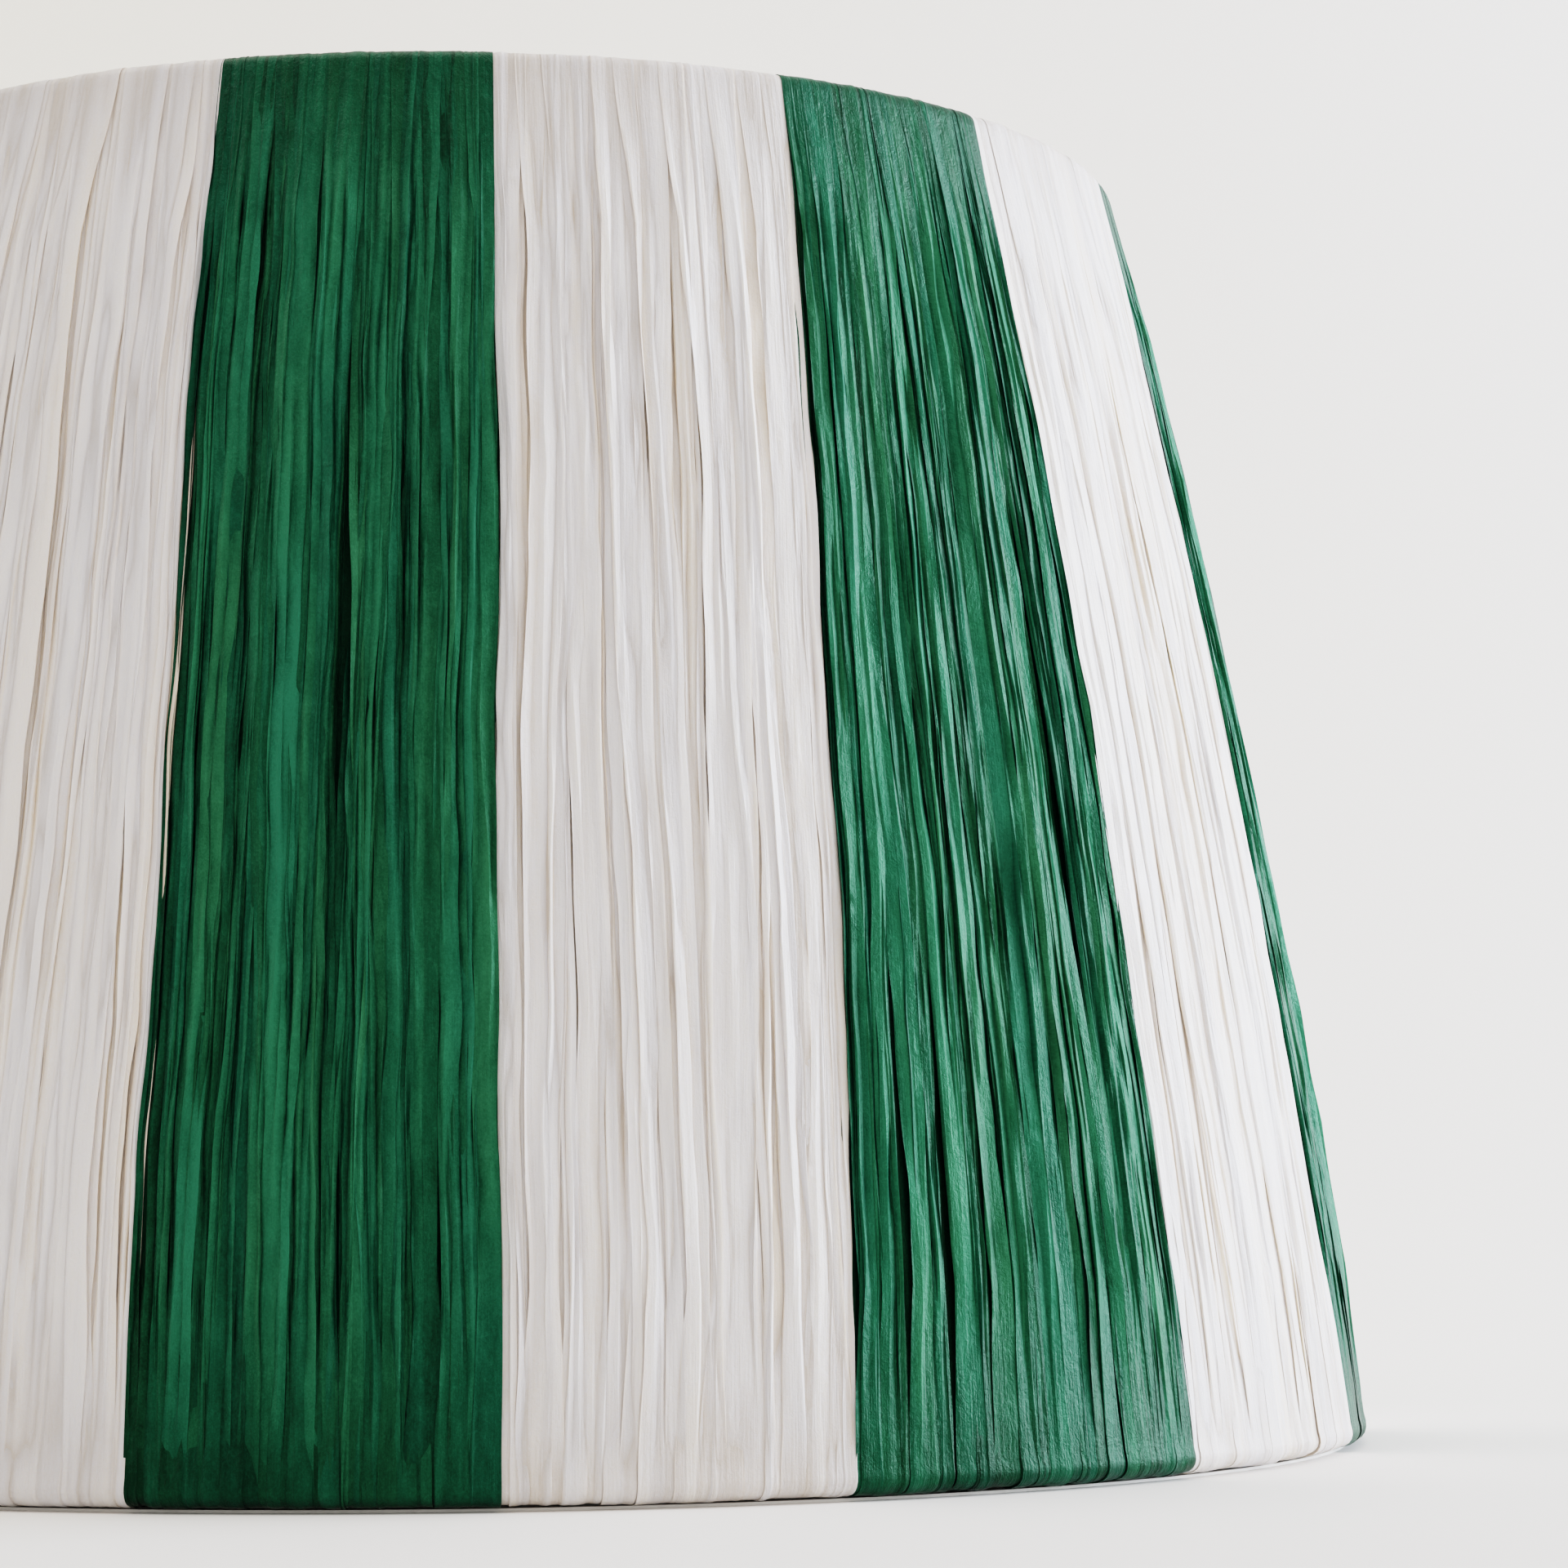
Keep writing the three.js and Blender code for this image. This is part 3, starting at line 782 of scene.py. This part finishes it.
def build_arm(number, side):
    """A bent wire from its peened pin end, which turns in the lug, down to the weld on the fitter ring."""
    low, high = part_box(f"fitter_arm_{number}")
    pin_end, reach = max(abs(low.x), abs(high.x)), min(abs(low.x), abs(high.x))
    hinge_z, ring_z = high.z - ARM_WIRE / 2, low.z + ARM_WIRE / 2
    bend = 8 * MM
    down = np.array([reach + bend - ARM_BEND_X, ring_z - hinge_z])
    down /= np.linalg.norm(down)
    shoulder, elbow = np.array([ARM_BEND_X, hinge_z]), np.array([reach + bend, ring_z])
    pin = np.linspace((pin_end, hinge_z), (ARM_BEND_X + 2 * MM, hinge_z), 24, endpoint=False)
    path = np.concatenate([
        pin,
        bezier((ARM_BEND_X + 2 * MM, hinge_z), shoulder, shoulder + down * bend, 14),
        np.linspace(shoulder + down * bend, elbow - down * bend, 24, endpoint=False),
        bezier(elbow - down * bend, elbow, (reach, ring_z), 14),
        [(reach, ring_z)],
    ])
    radii = np.full(len(path), ARM_WIRE / 2)
    from_end = pin_end - pin[:, 0]
    head = np.clip(1 - abs(from_end - 0.45 * MM) / (0.75 * MM), 0, 1)
    radii[:len(pin)] += 0.75 * MM * np.sqrt(head) - 0.6 * MM * np.clip(1 - from_end / (0.2 * MM), 0, 1)
    arm = Solid()
    arm.tube(path, radii)
    arm.bead(np.random.default_rng(SEED + number), (reach - 0.2 * MM, 0, ring_z),
             (1.3 * MM, 2.1 * MM, 1.35 * MM))
    arm.build(f"fitter_wire_{number}", "fitter", STEEL, "coated_steel", f"fitter_arm_{number}",
              0 if side > 0 else math.pi)


def build_lug(number, side):
    """A stamped plate with the pin hole, and the tongue that is welded to the top ring."""
    low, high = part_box(f"hinge_lug_{number}")
    inner_x, end_x = min(abs(low.x), abs(high.x)), max(abs(low.x), abs(high.x))
    hinge_z = low.z + LUG_RADIUS
    above = high.z - hinge_z
    fillet = 0.25 * MM
    around = np.linspace(0, 2 * math.pi, 96, endpoint=False)
    across = LUG_RADIUS / np.maximum(abs(np.cos(around)), 1e-6)
    upward = above / np.maximum(np.sin(around), 1e-6)
    edge = np.where(np.sin(around) > 0, np.minimum(across, upward), LUG_RADIUS)
    back, front = inner_x, inner_x + LUG_THICKNESS
    sections = []
    for angle, outer in zip(around, edge):
        outline = rounded([(PIN_HOLE_R, back), (outer, back), (outer, front), (PIN_HOLE_R, front)], fillet)
        sections.append(np.column_stack([outline[:, 1], outline[:, 0] * math.cos(angle),
                                         hinge_z + outline[:, 0] * math.sin(angle)]))
    lug = Solid()
    lug.loft(np.array(sections), closed=True)
    lug.block((inner_x + 0.1 * MM, -LUG_TONGUE_WIDTH / 2, high.z - LUG_THICKNESS),
              (end_x, LUG_TONGUE_WIDTH / 2, high.z), fillet)
    lug.bead(np.random.default_rng(SEED + 10 + number), (end_x, 0, TOP[1]), (0.9 * MM, 2.3 * MM, 1.1 * MM))
    lug.build(f"hinge_tab_{number}", "shade", STEEL, "coated_steel", f"hinge_lug_{number}",
              0 if side > 0 else math.pi)


def build_fitter_ring():
    """The flat ring that the lamp holder is clamped to."""
    low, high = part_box("fitter_ring")
    corners = [(FITTER_INNER_R, low.z), (high.x, low.z), (high.x, high.z), (FITTER_INNER_R, high.z)]
    ring = Solid()
    ring.turned(corners, 0.35 * MM, 160)
    ring.build("fitter_band", "fitter", STEEL, "coated_steel", "fitter_ring")


def build_reducer():
    """A moulded cup with a flange, stiffened by small gussets between its wall and its bore."""
    low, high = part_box("reducer_ring")
    wall = REDUCER_SKIRT_R - REDUCER_WALL
    flange_low = high.z - REDUCER_FLOOR
    floor = low.z + REDUCER_FLOOR
    corners = [(REDUCER_BORE_R, low.z), (REDUCER_SKIRT_R, low.z), (REDUCER_SKIRT_R, flange_low),
               (high.x, flange_low), (high.x, high.z), (wall, high.z), (wall, floor),
               (REDUCER_BORE_R, floor)]
    cup = Solid()
    cup.turned(corners, 0.3 * MM, 160)
    for k in range(GUSSETS):
        cup.block((REDUCER_BORE_R + 0.9 * MM, -0.4 * MM, floor - 0.4 * MM),
                  (wall + 0.4 * MM, 0.4 * MM, floor + 1.6 * MM), 0.2 * MM,
                  turn=math.tau * (k + 0.5) / GUSSETS)
    cup.build("reducer_moulding", "reducer", REDUCER, "reducer_plastic", "reducer_ring")


def build_liner():
    """A rolled plastic sheet with its ends lapped, its foot turned out under the raffia."""
    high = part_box("plastic_liner")[1]
    sheet, lap, step = LINER_SHEET, 11 * MM, 0.45 * MM
    start = math.radians(112)
    rng = np.random.default_rng(SEED + 20)
    heights = np.linspace(1.6 * MM, high.z, 28)
    share = (heights - BOTTOM[1]) / (TOP[1] - BOTTOM[1])
    face = BOTTOM[0] + (TOP[0] - BOTTOM[0]) * share - LINER_DEPTH / OUTWARD[0]
    bend = bezier((face[0] + 1.6 * MM, sheet), (face[0] + 0.2 * MM, sheet), (face[0], heights[0]), 5)
    outer = np.concatenate([[(high.x, sheet)], bend, np.column_stack([face, heights])])
    lower = bezier((face[0] + 1.2 * MM, 0), (face[0] - 0.3 * MM, 0), (face[0] - sheet, heights[0]), 5)
    inner = np.concatenate([[(high.x, 0)], lower, np.column_stack([face - sheet, heights])])
    outline = np.concatenate([outer, inner[::-1]])
    whole = 2 * math.pi + lap / face[0]
    angles = np.linspace(0, whole, 300)
    phase = rng.uniform(0, 2 * math.pi, 4)
    sections = []
    for angle in angles:
        lapped = min(1.0, max(0.0, (angle - 2 * math.pi + 0.02) / 0.02))
        wave = sum(math.sin((k + 2) * angle + phase[k]) for k in range(4)) * 0.06 * MM
        radius = outline[:, 0] - lapped * step + wave * np.clip(outline[:, 1] / (40 * MM), 0, 1)
        height = outline[:, 1] + lapped * step * (outline[:, 1] <= sheet)
        turn = start + angle
        sections.append(np.column_stack([radius * math.cos(turn), radius * math.sin(turn), height]))
    liner = Solid()
    liner.loft(np.array(sections))
    liner.build("liner_sheet", "shade", LINER, "liner_plastic", "plastic_liner")


def finish_cad_nodes():
    """The steel coat of the CAD's own rings and struts."""
    for node in ["top_ring", "bottom_ring"] + [f"frame_strut_{i}" for i in range(1, STRUTS + 1)]:
        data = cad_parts[node].data
        data.materials.clear()
        data.materials.append(STEEL)


def build_fitter():
    """Both lugs and arms, the ring between the arms, and the reducer in it."""
    for number, side in ((1, 1), (2, -1)):
        build_arm(number, side)
        build_lug(number, side)
    build_fitter_ring()
    build_reducer()


GREEN_WRAP = ("green", GREEN, GREEN_PROUD, GREEN_FOLDS)
WHITE_WRAP = ("white", WHITE, 0, WHITE_FOLDS)


def build_wraps():
    """The stripes in turn, white first."""
    edges = stripe_edges()
    for i in range(STRIPES):
        colour, material, proud, folds = GREEN_WRAP if i % 2 else WHITE_WRAP
        name = f"{colour}_ribbons_{i // 2 + 1}"
        piece = build_wrap(i, edges[i:i + 2], material, name, proud, folds)
        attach(piece, "shade")


# ---- stage and light ----

ROOM_LIGHT = 1.22
BACKDROP_Y = 1.05
BACKDROP_TOP = 3.0
SIDE_TOP = 2.0
SWEEP_R = 14.0
SWEEP_SEGMENTS = 180
COVE_R = 0.7
COVE_STEPS = 24
COVE_APRON = 0.2               # flat ring round the floor, so that the shading runs on smoothly
SWEEP_COLOUR = (0.79, 0.775, 0.75)
# painted warm light: the colour of the wall's upper left
SWEEP_PAINTED_WARM_LIGHT = (0.81, 0.76, 0.63)


def sweep_profile(top):
    """(radius, height) from the edge of the flat floor, through the cove, to the wall's top."""
    start = SWEEP_R - COVE_R
    profile = [(start - COVE_APRON, 0.0), (start, 0.0)]
    for k in range(1, COVE_STEPS + 1):
        a = math.pi / 2 * k / COVE_STEPS
        profile.append((start + COVE_R * math.sin(a), COVE_R * (1 - math.cos(a))))
    return profile + [(SWEEP_R, top)]


def build_stage():
    """A round floor that curves up into a wall, which is highest behind the part."""
    points, faces = [], []
    for i in range(SWEEP_SEGMENTS):
        angle = math.tau * i / SWEEP_SEGMENTS
        top = SIDE_TOP + (BACKDROP_TOP - SIDE_TOP) * max(0.0, math.cos(angle)) ** 24
        for r, z in sweep_profile(top):
            points.append((r * math.sin(angle), BACKDROP_Y - SWEEP_R + r * math.cos(angle), z))
    rows = len(points) // SWEEP_SEGMENTS
    for i in range(SWEEP_SEGMENTS):
        for k in range(rows - 1):
            here, beyond = i * rows + k, (i + 1) % SWEEP_SEGMENTS * rows + k
            faces.append((here, here + 1, beyond + 1, beyond))
    faces.append([i * rows for i in range(SWEEP_SEGMENTS)][::-1])
    mesh = bpy.data.meshes.new("sweep")
    mesh.from_pydata(points, [], faces)
    smooth = np.ones(len(faces), bool)
    smooth[-1] = False
    mesh.polygons.foreach_set("use_smooth", smooth)
    mesh.materials.append(sweep_material())
    sweep = bpy.data.objects.new("sweep", mesh)
    bpy.context.scene.collection.objects.link(sweep)


def sweep_material():
    """Pale paper with painted warm light up the wall at the left, fading back far out."""
    n = Nodes("sweep_paper")
    place = n.tree.nodes.new("ShaderNodeSeparateXYZ")
    n.set(place, "Vector", n.tree.nodes.new("ShaderNodeTexCoord").outputs["Object"])
    leftward = n.math("MULTIPLY_ADD", place.outputs["X"], -0.8, 0.45)
    leftward.node.use_clamp = True
    upward = n.math("MULTIPLY", place.outputs["Z"], 4.0)
    upward.node.use_clamp = True
    near = n.math("MULTIPLY_ADD", place.outputs["X"], 0.5, 1.5)
    near.node.use_clamp = True
    # Painted warm light: strongest high up at the left, fading far out.
    painted_warm_light = n.math("MULTIPLY", n.math("MULTIPLY", leftward, upward), near)
    n.set(n.shader, "Base Color", n.ramp(painted_warm_light, ((0.0, SWEEP_COLOUR), (1.0, SWEEP_PAINTED_WARM_LIGHT))))
    n.set(n.shader, "Roughness", 0.9)
    return n.material


def area_light(name, place, target, size, power, colour):
    """A rectangular light that shines from place towards target and isn't seen itself."""
    data = bpy.data.lights.new(name, "AREA")
    data.shape = "RECTANGLE"
    data.size, data.size_y = size
    data.energy = power
    data.color = colour
    light = bpy.data.objects.new(name, data)
    light.location = place
    light.rotation_euler = (Vector(target) - Vector(place)).to_track_quat("-Z", "Y").to_euler()
    light.visible_camera = False
    bpy.context.scene.collection.objects.link(light)


def build_lights():
    """A window at the right, a light on the backdrop, and a room darker on the camera's side."""
    area_light("window", place=(1.6, 0.15, 0.5), target=(0, 0, 0.08), size=(1.0, 1.0),
               power=40, colour=(0.90, 0.98, 1.13))
    area_light("backdrop_light", place=(-0.3, 0.2, 1.9), target=(-0.1, 1.05, 0.4), size=(2.0, 0.6),
               power=12, colour=(1.0, 0.97, 0.90))
    world = bpy.data.worlds.new("room")
    world.use_nodes = True
    tree = world.node_tree
    background = tree.nodes["Background"]
    background.inputs["Color"].default_value = (1.0, 0.955, 0.93, 1)
    place = tree.nodes.new("ShaderNodeTexCoord")
    toward = tree.nodes.new("ShaderNodeVectorMath")
    toward.operation = "DOT_PRODUCT"
    toward.inputs[1].default_value = Vector((-0.4, -1, 0.15)).normalized()
    shade = tree.nodes.new("ShaderNodeMapRange")
    shade.interpolation_type = "SMOOTHSTEP"
    shade.inputs["From Min"].default_value = 0.55
    shade.inputs["From Max"].default_value = 0.95
    shade.inputs["To Min"].default_value = ROOM_LIGHT
    shade.inputs["To Max"].default_value = ROOM_LIGHT * 0.35
    tree.links.new(place.outputs["Generated"], toward.inputs[0])
    tree.links.new(toward.outputs["Value"], shade.inputs["Value"])
    tree.links.new(shade.outputs["Result"], background.inputs["Strength"])
    bpy.context.scene.world = world
    view = bpy.context.scene.view_settings
    view.view_transform = "Filmic"
    view.look = "High Contrast"


# ---- camera ----

CAMERA_DISTANCE = 3.4 * HEIGHT
CAMERA_HEIGHT = 0.217 * HEIGHT
CAMERA_PAN = math.radians(4.42)
CAMERA_TILT = math.radians(5.26)
CAMERA_ROLL = math.radians(-0.41)
LENS = 95.7
SENSOR = 36


def build_camera():
    """The photograph's viewpoint: low and close, panned so that the shade's left side is cut off."""
    data = bpy.data.cameras.new("camera")
    data.lens = LENS
    data.sensor_width = SENSOR
    data.clip_start, data.clip_end = 0.02, 20
    camera = bpy.data.objects.new("camera", data)
    place = Matrix.Translation((0, -CAMERA_DISTANCE, CAMERA_HEIGHT))
    pan = Matrix.Rotation(-CAMERA_PAN, 4, "Z")
    tilt = Matrix.Rotation(math.pi / 2 + CAMERA_TILT, 4, "X")
    camera.matrix_world = place @ pan @ tilt @ Matrix.Rotation(CAMERA_ROLL, 4, "Z")
    bpy.context.scene.collection.objects.link(camera)
    bpy.context.scene.camera = camera


build_wraps()
build_fitter()
build_liner()
finish_cad_nodes()
build_stage()
build_lights()
build_camera()
